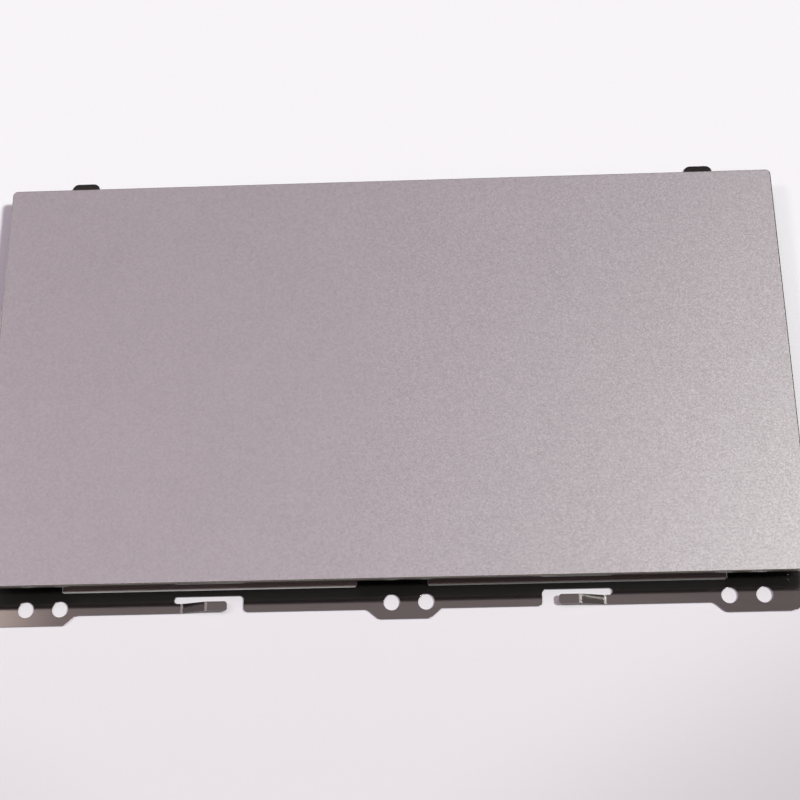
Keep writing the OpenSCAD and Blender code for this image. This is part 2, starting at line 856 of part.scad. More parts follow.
bracket_plate();
ground_arm_left();
ground_arm_right();
hinge_leaf_left();
hinge_leaf_right();
leaf_rivets();
striker_stud();
stop_pads();
bracket_film();
touch_plate();
plate_adhesive();
sensor_board();
hinge_tapes();
touch_controller();
small_chips();
capacitors();
resistors();
socket_housing();
socket_contacts();
socket_anchors();
cable_latch();
switch_base();
switch_terminals();
switch_dome();
switch_cover();
switch_plunger();
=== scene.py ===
import json
import math
import random

import bmesh
import bpy
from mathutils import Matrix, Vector

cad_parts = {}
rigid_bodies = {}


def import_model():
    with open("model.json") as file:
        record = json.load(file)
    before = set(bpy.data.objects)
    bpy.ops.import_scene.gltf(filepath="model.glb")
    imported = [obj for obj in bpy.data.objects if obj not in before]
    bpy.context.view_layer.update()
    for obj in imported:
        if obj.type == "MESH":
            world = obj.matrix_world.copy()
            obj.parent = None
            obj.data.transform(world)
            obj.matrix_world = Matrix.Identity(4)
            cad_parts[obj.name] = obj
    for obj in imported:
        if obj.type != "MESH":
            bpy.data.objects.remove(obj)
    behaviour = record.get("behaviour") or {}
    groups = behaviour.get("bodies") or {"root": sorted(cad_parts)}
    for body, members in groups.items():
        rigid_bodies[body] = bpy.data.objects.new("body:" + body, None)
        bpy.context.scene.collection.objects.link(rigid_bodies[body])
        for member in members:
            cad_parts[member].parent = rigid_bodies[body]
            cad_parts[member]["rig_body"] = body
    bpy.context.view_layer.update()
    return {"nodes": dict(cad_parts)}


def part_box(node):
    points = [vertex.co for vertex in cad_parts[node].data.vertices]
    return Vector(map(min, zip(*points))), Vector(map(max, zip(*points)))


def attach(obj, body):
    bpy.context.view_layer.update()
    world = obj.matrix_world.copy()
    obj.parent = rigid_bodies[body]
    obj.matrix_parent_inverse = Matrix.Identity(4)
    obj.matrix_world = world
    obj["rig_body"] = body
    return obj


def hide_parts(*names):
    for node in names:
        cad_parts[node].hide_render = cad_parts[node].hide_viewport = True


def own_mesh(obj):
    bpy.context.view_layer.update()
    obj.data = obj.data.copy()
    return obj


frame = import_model()

MM = 0.001
UP = Vector((0, 0, 1))
WELD = 3e-7  # in metres: points closer than this are one point
SHARP = math.radians(42)  # edges above this angle stay sharp in shading
PALE = (0.86, 0.86, 0.87)  # the studio's white, far from the part

# The touch controller's square body, and its leads along each side, from its middle in millimetres.
CHIP_HALF = 3.5
LEAD_PLACES = [-3.0 + k * 6.0 / 11 for k in range(12)]


class Wire:
    """One socket of a finish, so that shader sums read as plain arithmetic."""

    def __init__(self, finish, socket):
        self.finish = finish
        self.socket = socket

    def pick(self, out):
        """Another output of the same node."""
        return Wire(self.finish, self.socket.node.outputs[out])

    def __add__(self, other):
        return self.finish.maths("ADD", self, other)

    def __radd__(self, other):
        return self.finish.maths("ADD", other, self)

    def __sub__(self, other):
        return self.finish.maths("SUBTRACT", self, other)

    def __rsub__(self, other):
        return self.finish.maths("SUBTRACT", other, self)

    def __mul__(self, other):
        return self.finish.maths("MULTIPLY", self, other)

    def __rmul__(self, other):
        return self.finish.maths("MULTIPLY", other, self)

    def __truediv__(self, other):
        return self.finish.maths("DIVIDE", self, other)

    def __rtruediv__(self, other):
        return self.finish.maths("DIVIDE", other, self)

    def __pow__(self, other):
        return self.finish.maths("POWER", self, other)

    def __rpow__(self, other):
        return self.finish.maths("POWER", other, self)

    def __abs__(self):
        return self.finish.maths("ABSOLUTE", self)

    def __lt__(self, other):
        return self.finish.maths("LESS_THAN", self, other)

    def __gt__(self, other):
        return self.finish.maths("GREATER_THAN", self, other)


class Nodes:
    """Shader nodes of one tree. Places are in millimetres of the part's own frame."""

    def __init__(self, owner):
        owner.use_nodes = True
        self.tree = owner.node_tree
        self.kept = {}

    def add(self, kind, settings=None, sockets=None, out=0):
        """Any node: its settings, what goes into its sockets, and the output that is used."""
        node = self.tree.nodes.new(kind)
        for key, value in (settings or {}).items():
            if key == "stops":
                ramp = node.color_ramp.elements
                while len(ramp) < len(value):
                    ramp.new(1.0)
                for stop, (place, tone) in zip(ramp, value):
                    stop.position = place
                    stop.color = (*tone, 1)
            else:
                setattr(node, key, value)
        for key, value in (sockets or {}).items():
            self.plug(node.inputs[key], value)
        return Wire(self, node.outputs[out])

    def plug(self, socket, value):
        if isinstance(value, Wire):
            self.tree.links.new(value.socket, socket)
        elif socket.type == "RGBA" and len(value) == 3:
            socket.default_value = (*value, 1)
        else:
            socket.default_value = value

    def once(self, key, make):
        if key not in self.kept:
            self.kept[key] = make()
        return self.kept[key]

    def maths(self, operation, *values):
        return self.add("ShaderNodeMath", {"operation": operation}, dict(enumerate(values)))

    def vector(self, operation, *values, **named):
        sockets = {**dict(enumerate(values)), **named}
        return self.add("ShaderNodeVectorMath", {"operation": operation}, sockets)

    def place(self):
        """Place on the part, in millimetres."""
        return self.once("place", lambda: self.vector(
            "SCALE", self.add("ShaderNodeTexCoord", out="Object"), Scale=1000.0))

    def axis(self, name):
        key = "xyz".index(name)
        return self.once(name, lambda: self.add("ShaderNodeSeparateXYZ", None, {0: self.place()}, key))

    def normal(self):
        return self.once("normal", lambda: self.add("ShaderNodeNewGeometry", out="Normal"))

    def level(self):
        """1 on level faces, top or bottom, and 0 on upright ones."""
        return self.once("level", lambda: abs(self.add("ShaderNodeSeparateXYZ", None, {0: self.normal()}, 2)))

    def stretched(self, x, y, z):
        return self.vector("MULTIPLY", self.place(), (x, y, z))

    def noise(self, size, detail=2.0, rough=0.5, where=None, out=0):
        """Cloudy noise from 0 to 1 with features of about this size in millimetres."""
        return self.add("ShaderNodeTexNoise", None, {
            "Vector": where or self.place(), "Scale": 1 / size, "Detail": detail, "Roughness": rough}, out)

    def cells(self, size):
        """Distance from the nearest of points scattered about this far apart in millimetres."""
        return self.add("ShaderNodeTexVoronoi", None, {"Vector": self.place(), "Scale": 1 / size}, "Distance")

    def ramp(self, value, *stops):
        return self.add("ShaderNodeValToRGB", {"stops": stops}, {0: value})

    def step(self, value, low, high):
        """Smooth step of a value from 0 at low to 1 at high."""
        return self.add("ShaderNodeMapRange", {"interpolation_type": "SMOOTHSTEP"}, {
            "Value": value, "From Min": low, "From Max": high})

    def near(self, way, towards, edge, core):
        """1 within core degrees of a direction, 0 beyond edge degrees."""
        close = self.vector("DOT_PRODUCT", way, Vector(towards).normalized()).pick("Value")
        return self.step(close, math.cos(math.radians(edge)), math.cos(math.radians(core)))

    def tint(self, factor, first, second):
        return self.add("ShaderNodeMix", {"data_type": "RGBA"}, {0: factor, 6: first, 7: second}, 2)

    def shade(self, tone, factor):
        """A tone made lighter or darker by a factor that changes over the surface."""
        return self.vector("SCALE", tone, Scale=factor)


class Finish(Nodes):
    """A procedural material."""

    def __init__(self, name, constants=None):
        self.material = bpy.data.materials.new(name)
        super().__init__(self.material)
        self.shader = self.tree.nodes["Principled BSDF"]
        self.feed(constants or {})

    def feed(self, sockets):
        for key, value in sockets.items():
            self.plug(self.shader.inputs[key], value)

    def bump(self, height, depth):
        """Raises the surface by a height times a depth in millimetres."""
        self.feed({"Normal": self.add("ShaderNodeBump", None, {"Distance": depth * MM, "Height": height})})


def satin_paint():
    """Mauve-grey metallic paint on the touch plate: soft clouds, and flakes that each lie a little tilted."""
    f = Finish("satin_paint", {"Metallic": 0.15, "IOR": 2.25})
    cloud = f.noise(9.0, 3.0)
    grain = f.noise(0.34, 1.0)
    f.feed({"Base Color": f.shade((0.359, 0.304, 0.335), 0.76 + 0.07 * cloud + 0.40 * grain),
            "Roughness": 0.37 + 0.05 * grain})
    flakes = f.vector("SUBTRACT", f.noise(0.27, 0.0, out="Color"), (0.5, 0.5, 0.5))
    tilt = 0.103
    tilted = f.vector("MULTIPLY_ADD", flakes, (tilt, tilt, tilt), f.normal())
    f.feed({"Normal": f.vector("NORMALIZE", tilted)})
    return f.material


def plate_rim():
    """The plate's cut bevel: bare warm metal, half bright, with marks of the cutter."""
    f = Finish("plate_rim", {"Metallic": 0.9})
    wear = f.noise(0.6, 3.0)
    f.feed({"Base Color": f.tint(wear, (0.17, 0.152, 0.128), (0.24, 0.215, 0.185)),
            "Roughness": 0.2 + 0.12 * wear})
    f.bump(f.noise(0.12), 0.002)
    return f.material


def plate_side():
    """The plate's straight side: dark, half gloss, with lines of the cutter."""
    f = Finish("plate_side", {"Metallic": 0.2})
    cut = f.noise(0.08, 2.0, 0.5, f.stretched(0.1, 0.1, 1.0))
    f.feed({"Base Color": f.tint(cut, (0.016, 0.012, 0.011), (0.034, 0.026, 0.024)),
            "Roughness": 0.3 + 0.15 * cut})
    f.bump(cut, 0.003)
    return f.material


def black_nickel(name, tone, set_until, creases=()):
    """Dark plated sheet steel: mirror bright, rolled along X, with upright cut edges in a dark purple, partly
    their own tone and partly painted shade.
    The sheet has taken a slight upward set along its front, as far right as set_until.
    Creases are places along X of the bends: each gets a rougher band and a broken line of lighter colour, a
    painted highlight."""
    f = Finish(name, {"Metallic": 0.965})
    rolled = f.noise(1.0, 3.0, 0.6, f.stretched(0.25, 9.0, 1.0))
    cloud = f.noise(6.0, 3.0)
    speck = f.step(f.cells(1.1), 0.05, 0.02)
    face = f.step(f.level(), 0.5, 0.8)
    warmer = tuple(c * k for c, k in zip(tone, (1.08, 1.0, 1.02)))
    plated = f.shade(f.tint(cloud, tone, warmer), 0.9 + 0.2 * rolled)
    # Upright faces, the cut edges, are given a dark purple: partly the edge's own tone, partly painted shade.
    colour = f.tint(face, (0.105, 0.085, 0.112), plated)
    rough = 0.075 + 0.04 * rolled + 0.1 * speck + 0.2 * (1 - face)
    for crease in creases:
        off = abs(f.axis("x") - crease + 0.3 * (f.noise(0.35, 2.0) - 0.5))
        bend = f.step(off, 0.24, 0.12)
        # Painted highlight: a broken line of lighter steel colour along the crease, where the bend would catch
        # the light.
        painted_crease_glint = f.step(off, 0.09, 0.03) * f.step(f.noise(0.4, 2.0), 0.52, 0.62)
        colour = f.tint(painted_crease_glint, colour, (0.40, 0.388, 0.376))
        rough = rough + 0.5 * bend - 0.3 * painted_crease_glint
    f.feed({"Base Color": colour, "Roughness": rough})
    lean, set_from, fade = -0.039, -31.0, 4.0
    before = f.maths("MINIMUM", f.axis("y") - set_from, 0.0)
    raised = lean * f.step(f.axis("x"), set_until, set_until - fade) * before
    f.bump(0.0012 * rolled + 0.0006 * speck + raised, 1.0)
    return f.material


def bright_steel(name, tone, rough, along=(0.15, 8.0, 1.0)):
    """Bare spring steel, gold or tinned metal with drawn lines. Along is small where the lines run."""
    f = Finish(name, {"Metallic": 1.0})
    drawn = f.noise(0.5, 3.0, 0.6, f.stretched(*along))
    cloud = f.noise(2.5, 2.0)
    duller = tuple(c * 0.86 for c in tone)
    f.feed({"Base Color": f.shade(f.tint(cloud, tone, duller), 0.88 + 0.24 * drawn),
            "Roughness": rough + 0.14 * drawn})
    f.bump(drawn, 0.002)
    return f.material


def solder_mask():
    """Sensor board: black mask with a faint weave under it, and a brown cut edge in layers."""
    f = Finish("solder_mask")
    edge = f.step(f.level(), 0.7, 0.4)
    weft, warp = (f.add("ShaderNodeTexWave", {"bands_direction": way}, {
        "Vector": f.place(), "Scale": 1.6, "Distortion": 0.6, "Detail": 1.0}, 1) for way in "XY")
    weave = weft * warp
    layer = f.noise(0.11, 2.0, 0.5, f.stretched(0.03, 0.03, 1.0))
    mask = f.tint(weave, (0.010, 0.012, 0.011), (0.016, 0.019, 0.017))
    cut = f.tint(layer, (0.018, 0.013, 0.011), (0.060, 0.046, 0.041))
    f.feed({"Base Color": f.tint(edge, mask, cut), "Roughness": 0.34 + 0.08 * layer - 0.18 * edge})
    f.bump(weave + layer * edge, 0.004)
    return f.material


def moulded(name, tone, rough=0.5, grain=0.18, depth=0.004):
    """Moulded resin, ceramic, rubber or ink: fine eroded grain and cloudy tone."""
    f = Finish(name, {"IOR": 1.5})
    fine = f.noise(grain, 3.0, 0.6)
    cloud = f.noise(1.8, 2.0)
    f.feed({"Base Color": f.shade(tone, 0.82 + 0.22 * fine + 0.14 * cloud),
            "Roughness": rough + 0.2 * (fine - 0.5)})
    f.bump(fine, depth)
    return f.material


def mask_over_copper():
    """Copper lines seen through the mask: a little lighter and browner than the board round them."""
    f = Finish("mask_over_copper", {"IOR": 1.5})
    cloud = f.noise(1.2, 3.0)
    f.feed({"Base Color": f.tint(cloud, (0.042, 0.045, 0.036), (0.064, 0.060, 0.044)),
            "Roughness": 0.24 + 0.1 * cloud})
    f.bump(f.noise(0.15, 2.0), 0.003)
    return f.material


def chip_with_leads(middle):
    """Matt chip body, and tin on what stands out of its square outline."""
    f = Finish("chip_with_leads")
    fine = f.noise(0.09, 3.0, 0.6)
    out = f.maths("MAXIMUM", abs(f.axis("x") - middle.x), abs(f.axis("y") - middle.y))
    lead = out > CHIP_HALF + 0.005
    body = f.shade((0.024, 0.024, 0.025), 0.7 + 0.6 * fine)
    f.feed({"Base Color": f.tint(lead, body, (0.64, 0.63, 0.62)),
            "Metallic": lead, "Roughness": 0.5 + 0.14 * fine - 0.22 * lead})
    f.bump(fine, 0.006)
    return f.material


def turned_brass(middle):
    """Turned brass with the lathe's rings on its face."""
    f = Finish("turned_brass", {"Metallic": 1.0})
    from_axis = ((f.axis("x") - middle.x) ** 2.0 + (f.axis("y") - middle.y) ** 2.0) ** 0.5
    rings = f.maths("SINE", from_axis * 52.0)
    cloud = f.noise(0.8, 3.0)
    f.feed({"Base Color": f.tint(cloud, (0.66, 0.47, 0.20), (0.56, 0.38, 0.15)),
            "Roughness": 0.22 + 0.12 * cloud})
    f.bump(0.5 + 0.5 * rings, 0.003)
    return f.material


def black_film():
    """Black insulating film: half gloss, with fine scuffs and a faint print of its rollers."""
    f = Finish("black_film", {"IOR": 1.55})
    scuff = f.step(f.noise(1.0, 4.0, 0.7, f.stretched(0.4, 2.2, 1.0)), 0.56, 0.66)
    grain = f.noise(0.1, 2.0)
    f.feed({"Base Color": f.tint(scuff, (0.014, 0.014, 0.015), (0.030, 0.030, 0.031)),
            "Roughness": 0.30 + 0.12 * scuff + 0.08 * grain})
    f.bump(grain + 0.6 * scuff, 0.003)
    return f.material


def paper_floor():
    """White paper under the part, with painted shade: dimmer close to its front and towards both front
    corners, darker and browner where it is seen through the bracket's slots, plain white far away, and clear
    from below."""
    f = Finish("paper_floor", {"Roughness": 0.9, "Specular IOR Level": 0.1})
    x, y = f.axis("x"), f.axis("y")
    away = (x ** 2.0 + y ** 2.0) ** 0.5
    close = f.step(away, 330.0, 100.0)
    # Painted shade: the paper is darker and more purple towards the front, near the part.
    front = f.step(y, 40.0, -70.0)
    plain = f.tint(front * close, (0.880, 0.880, 0.880), (0.765, 0.740, 0.752))
    slot_front, slot_middle, slot_rear = (-33.2, -32.6), (-32.35, -32.15), (-28.5, -30.5)
    slot_end = (59.5, 58.0)
    # Painted shade under the plate, seen through the bracket's slots: on the right half the paper is darkened,
    # and deeper in the slots it is also tinted brown, a painted warm bounce.
    under = f.step(y, *slot_front) * f.step(y, *slot_rear) * f.step(abs(x), *slot_end)
    deep_slot_shade = under * f.step(y, *slot_middle)
    right = f.step(x, -4.0, 6.0)
    slot_shade_browned = f.vector("MULTIPLY", plain, f.tint(deep_slot_shade, (1.0, 1.0, 1.0), (0.97, 0.77, 0.69)))
    shaded = f.shade(slot_shade_browned, 1 - (0.58 * under - 0.29 * deep_slot_shade) * right)
    # Painted shade: the paper darkens towards the front right corner, and a little towards the front left
    # corner, near the part.
    right_corner_shade = f.step(0.6 * x - y, 60.0, 105.0)
    left_corner_shade = f.step(-0.6 * x - y, 80.0, 105.0)
    dimmed = 1 - (0.22 * right_corner_shade + 0.07 * left_corner_shade) * close
    fibre = f.noise(0.5, 4.0, 0.6)
    f.feed({"Base Color": f.shade(shaded, (0.985 + 0.03 * fibre) * dimmed)})
    f.bump(fibre, 0.004)
    far = f.step(away, 260.0, 620.0)
    seen = f.add("ShaderNodeLightPath", out="Is Camera Ray")
    white = f.add("ShaderNodeEmission", None, {"Color": PALE, "Strength": 1.0})
    clear = f.add("ShaderNodeBsdfTransparent")
    behind = f.add("ShaderNodeNewGeometry", out="Backfacing")
    faded = f.add("ShaderNodeMixShader", None, {0: far * seen, 1: Wire(f, f.shader.outputs[0]), 2: white})
    one_sided = f.add("ShaderNodeMixShader", None, {0: behind, 1: faded, 2: clear})
    f.plug(f.tree.nodes["Material Output"].inputs["Surface"], one_sided)
    return f.material


def soft_sky():
    """Studio round the part: dim where it only gives light, plain and pale where the camera sees it, and in
    metal a pale horizon under a dark ceiling with a grey panel overhead and a lit patch on the left."""
    world = bpy.data.worlds.new("soft_sky")
    bpy.context.scene.world = world
    f = Nodes(world)
    way = f.add("ShaderNodeTexCoord", out="Generated")
    across, height = (f.add("ShaderNodeSeparateXYZ", None, {0: way}, k) for k in (0, 2))
    arch = height / (1.0 - across ** 2.0) ** 0.5
    ceiling = f.ramp(arch, (0.0, PALE), (0.30, (0.80, 0.80, 0.81)), (0.68, (0.13, 0.12, 0.125)),
                     (0.80, (0.062, 0.056, 0.057)), (0.868, (0.060, 0.054, 0.055)),
                     (0.906, (0.385, 0.355, 0.36)), (1.0, (0.46, 0.43, 0.44)))
    dimmed = f.shade(ceiling, (1 - 0.42 * f.step(across, 0.05, 0.19)) * (1 - 0.85 * f.step(across, 0.4, 0.7)))
    sided = f.tint(f.step(across, -0.6, -0.85), dimmed, (2.0, 1.9, 1.9))
    mirrored = f.tint(f.near(way, (-0.36, 0.365, 0.857), 8.2, 5.6), sided, (1.60, 1.43, 1.34))
    light = f.tint(f.near(way, (0.0, 0.17, 0.985), 32.0, 16.0), (0.072, 0.062, 0.070), (1.45, 1.20, 1.43))
    seen, glossy, through = (f.add("ShaderNodeLightPath", out="Is %s Ray" % kind)
                             for kind in ("Camera", "Glossy", "Transmission"))
    lit = f.tint(f.maths("MAXIMUM", glossy, through), light, mirrored)
    f.plug(f.tree.nodes["Background"].inputs["Color"], f.tint(seen, lit, PALE))


def lamp(name, energy, tone, azimuth, elevation, spread):
    """A far lamp that points at the part. Azimuth 0 is the front and 90 the right. Angles are in degrees."""
    light = bpy.data.lights.new(name, "SUN")
    light.energy, light.color, light.angle = energy, tone, math.radians(spread)
    stand = bpy.data.objects.new(name, light)
    bpy.context.scene.collection.objects.link(stand)
    a, e = math.radians(azimuth), math.radians(elevation)
    from_there = Vector((math.sin(a) * math.cos(e), -math.cos(a) * math.cos(e), math.sin(e)))
    stand.rotation_euler = from_there.to_track_quat("Z", "Y").to_euler()
    stand.location = from_there
    return stand


def studio():
    """Paper floor, soft sky, camera, and lamps: key and sheen on the right, fill on the left, one below."""
    scene = bpy.context.scene
    scene.view_settings.view_transform = "Standard"
    bm = bmesh.new()
    bmesh.ops.create_circle(bm, cap_ends=True, segments=96, radius=3.0)
    floor = shown("paper_floor", bm, [paper_floor()])
    floor.location.z = -0.01 * MM
    floor.visible_shadow = False
    floor.visible_glossy = False
    soft_sky()
    lamp("key_lamp", energy=2.5, tone=(0.955, 1.0, 0.965), azimuth=77.5, elevation=58.0, spread=6.5)
    sheen = lamp("sheen_lamp", energy=0.80, tone=(0.91, 1.0, 0.87), azimuth=129.0, elevation=63.5, spread=5.0)
    sheen.visible_diffuse = False
    lamp("fill_lamp", energy=0.40, tone=(1.0, 0.87, 1.0), azimuth=-92.0, elevation=55.0, spread=11.0)
    lamp("under_lamp", energy=1.3, tone=(1.0, 0.98, 0.97), azimuth=40.0, elevation=-55.0, spread=20.0)

    lens = bpy.data.cameras.new("camera")
    lens.lens = 80.951
    lens.sensor_width = 36.0
    lens.clip_start = 0.01
    camera = bpy.data.objects.new("camera", lens)
    camera.location = Vector((11.4455, -119.3066, 247.6383)) * MM
    camera.rotation_euler = [math.radians(d) for d in (25.20705, 2.54007, -0.41503)]
    scene.collection.objects.link(camera)
    scene.camera = camera


def shown(name, bm, finishes):
    """Makes an object from a shape, shaded smooth with the flats kept flat."""
    for face in bm.faces:
        face.smooth = True
    mesh = bpy.data.meshes.new(name)
    bm.to_mesh(mesh)
    bm.free()
    mesh.set_sharp_from_angle(angle=SHARP)
    for finish in finishes:
        mesh.materials.append(finish)
    piece = bpy.data.objects.new(name, mesh)
    bpy.context.scene.collection.objects.link(piece)
    return piece


def fitted(name, bm, finishes, body, slot, *stands_for):
    """A shown piece that rides on a body, and stands for its solids."""
    bmesh.ops.recalc_face_normals(bm, faces=bm.faces)
    piece = shown(name, bm, finishes)
    flats = piece.modifiers.new("flats", "WEIGHTED_NORMAL")
    flats.weight = 100
    flats.keep_sharp = True
    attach(piece, body)
    if stands_for:
        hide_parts(*stands_for)
    return piece


def dress(node, finish):
    """Puts a finish on a solid that stays as it is."""
    solid = frame["nodes"][node]
    solid.data.materials.clear()
    solid.data.materials.append(finish)


def solid_shape(node):
    """A copy of a node's solids to work on."""
    bm = bmesh.new()
    bm.from_mesh(frame["nodes"][node].data)
    bmesh.ops.remove_doubles(bm, verts=bm.verts, dist=WELD)
    return bm


def eased(node, ease, finish, slot):
    """The solid itself with its corners broken, as stamping, moulding or tumbling leaves them."""
    bm = solid_shape(node)
    flat, corner = math.radians(0.5), math.radians(20)
    bmesh.ops.dissolve_limit(bm, angle_limit=flat, verts=bm.verts, edges=bm.edges)
    sharp = [e for e in bm.edges if len(e.link_faces) == 2 and e.calc_face_angle(0.0) > corner]
    bmesh.ops.bevel(bm, geom=sharp, offset=ease * MM, segments=2, profile=0.6, affect="EDGES",
                    clamp_overlap=True)
    bmesh.ops.remove_doubles(bm, verts=bm.verts, dist=WELD)
    bmesh.ops.dissolve_degenerate(bm, dist=WELD, edges=bm.edges)
    fitted(node + "_eased", bm, [finish], frame["nodes"][node]["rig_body"], slot, node)


def node_box(node):
    """Low and high corner of a node, in millimetres."""
    low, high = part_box(node)
    return low / MM, high / MM


def islands(node):
    """Low and high corner of every separate solid of a node, in millimetres."""
    bm = solid_shape(node)
    left, boxes = set(bm.verts), []
    while left:
        edge = [left.pop()]
        found = list(edge)
        while edge:
            for link in edge.pop().link_edges:
                for v in link.verts:
                    if v in left:
                        left.discard(v)
                        edge.append(v)
                        found.append(v)
        spans = [[v.co[i] / MM for v in found] for i in range(3)]
        boxes.append((Vector(map(min, spans)), Vector(map(max, spans))))
    bm.free()
    return sorted(boxes, key=lambda b: tuple(b[0]))


def faces_between(bm, loops, caps=True, material=0):
    """Skins a row of closed loops of points in millimetres, all with the same count.
    Without caps the last loop joins the first."""
    rings = [[bm.verts.new(Vector(p) * MM) for p in loop] for loop in loops]
    made = []
    for low, high in zip(rings, rings[1:] if caps else rings[1:] + rings[:1]):
        for i in range(len(low)):
            j = (i + 1) % len(low)
            made.append(bm.faces.new((low[i], low[j], high[j], high[i])))
    if caps:
        made.append(bm.faces.new(rings[0][::-1]))
        made.append(bm.faces.new(rings[-1]))
    for face in made:
        face.material_index = material
    return made


def rounded_loop(low, high, inset, radius, z, steps=12):
    """Rounded rectangle in plan, from its low and high corners."""
    r = max(radius - inset, 0.02)
    left, right = low[0] + inset + r, high[0] - inset - r
    front, rear = low[1] + inset + r, high[1] - inset - r
    points = []
    for cx, cy, start in ((right, rear, 0), (left, rear, 90), (left, front, 180), (right, front, 270)):
        for k in range(steps + 1):
            a = math.radians(start + 90 * k / steps)
            points.append((cx + r * math.cos(a), cy + r * math.sin(a), z))
    return points


def chunk(bm, low, high, ease, material=0, draft=0.0):
    """A small block with rounded corners and broken edges. Draft narrows it away from its middle plane."""
    low, high = Vector(low), Vector(high)
    broken = [(ease, 0.0), (ease * 0.3, ease * 0.3), (0.0, ease)]
    profile = [(inset + draft, low.z + z) for inset, z in broken]
    if draft:
        profile.append((0.0, (low.z + high.z) / 2))
    profile += [(inset + draft, high.z - z) for inset, z in reversed(broken)]
    loops = [rounded_loop(low, high, inset, ease * 1.4 + inset, z, 3) for inset, z in profile]
    faces_between(bm, loops, material=material)


def circle(x, y, r, z, count):
    """A level circle of points."""
    turns = [k * math.tau / count for k in range(count)]
    return [(x + r * math.cos(a), y + r * math.sin(a), z) for a in turns]


def turned(bm, x, y, profile, count=40):
    """A turned piece about an upright axis, from points of radius and height, closed by a tiny flat."""
    tiny = 0.004
    faces_between(bm, [circle(x, y, max(r, tiny), z, count) for r, z in profile])


def ring(bm, x, y, outer, inner, top, bottom, count=20):
    """A round pad with a hole down its middle."""
    broken, lip = 0.02, bottom + 0.004
    profile = [(inner, top), (inner, lip), (inner + broken, bottom), (outer - broken, bottom), (outer, lip),
               (outer, top)]
    faces_between(bm, [circle(x, y, r, z, count) for r, z in profile], caps=False)


def ribbon(bm, path, width, top, bottom):
    """A flat line on the board with mitred corners, through points in plan."""
    points = [Vector(p) for p in path]
    loops = []
    for k, p in enumerate(points):
        into = (p - points[k - 1]).normalized() if k else None
        out = (points[k + 1] - p).normalized() if k + 1 < len(points) else None
        ahead = (into + out).normalized() if into and out else (into or out)
        side = Vector((-ahead.y, ahead.x)) * width / 2 / max(ahead.dot(out or into), 0.4)
        a, b = p + side, p - side
        loops.append([(*a, top), (*b, top), (*b, bottom), (*a, bottom)])
    faces_between(bm, loops)


def bent(corners, bend, steps=6):
    """A line through corners with every inner corner turned into a bend."""
    line = [corners[0]]
    for a, b, c in zip(corners, corners[1:], corners[2:]):
        turn = Vector(b)
        back, on = ((Vector(end) - turn).normalized() * bend for end in (a, c))
        for k in range(steps + 1):
            t = k / steps
            line.append(tuple(turn + back * (1 - t) ** 2 + on * t ** 2))
    return line + [corners[-1]]


def strip(bm, line, near, far, thick, lie, material=0, ease=0.03, drawn_in=None):
    """A bent strip of sheet along a line of (run, height) points, between two places across it.
    Lie turns (run, across, height) into a place of the part. Drawn_in narrows both sides along the run."""
    loops = []
    for k, (run, height) in enumerate(line):
        before, after = line[max(k - 1, 0)], line[min(k + 1, len(line) - 1)]
        along = (Vector(after) - Vector(before)).normalized()
        narrow = drawn_in(run) if drawn_in else 0.0
        a, b = near + narrow, far - narrow
        section = [(a + ease, 0), (b - ease, 0), (b, ease), (b, thick - ease),
                   (b - ease, thick), (a + ease, thick), (a, thick - ease), (a, ease)]
        loops.append([lie(run - along[1] * t, across, height + along[0] * t) for across, t in section])
    faces_between(bm, loops, material=material)


def solder_fillet(bm, x, y, way, board, width, reach, height, material=0):
    """A concave fillet of solder from the board down the end of a part. Way is the side it flows out to."""
    out = Vector((way[0], way[1], 0))
    across = Vector((-way[1], way[0], 0)) * width / 2
    foot = Vector((x, y, board))
    curve = [Vector((0, 0, 0)), out * reach]
    for k in range(1, 6):
        a = math.radians(90 * k / 5)
        curve.append(out * reach * (1 - math.sin(a)) - UP * height * (1 - math.cos(a)))
    across_and_size = ((-1.0, 0.6), (-0.8, 1.0), (0.8, 1.0), (1.0, 0.6))
    loops = [[foot + across * at + p * size for p in curve] for at, size in across_and_size]
    faces_between(bm, loops, material=material)


def touch_plate():
    """The plate: a painted top, a cut bevel of bare metal round it, and dark straight sides."""
    low, high = node_box("touch_plate")
    corner, bevel, roundness, broken, steps = 0.8, 0.15, 0.6, 0.03, 4
    profile = [(broken, low.z), (0.0, low.z + broken), (0.0, high.z - bevel)]
    for k in range(1, steps + 1):
        a, straight = math.radians(90 * k / steps), (1 - roundness) * k / steps
        profile.append((bevel * (roundness * (1 - math.cos(a)) + straight),
                        high.z - bevel + bevel * (roundness * math.sin(a) + straight)))
    bm = bmesh.new()
    loops = [rounded_loop(low, high, inset, corner, z) for inset, z in profile]
    *around, bottom, top = faces_between(bm, loops)
    paint, rim, side = range(3)
    for index, face in enumerate(around):
        face.material_index = side if index // len(loops[0]) < 2 else rim
    bottom.material_index = side
    top.material_index = paint
    fitted("plate_skin", bm, [satin_paint(), plate_rim(), plate_side()], "pad", "plate_paint", "touch_plate")


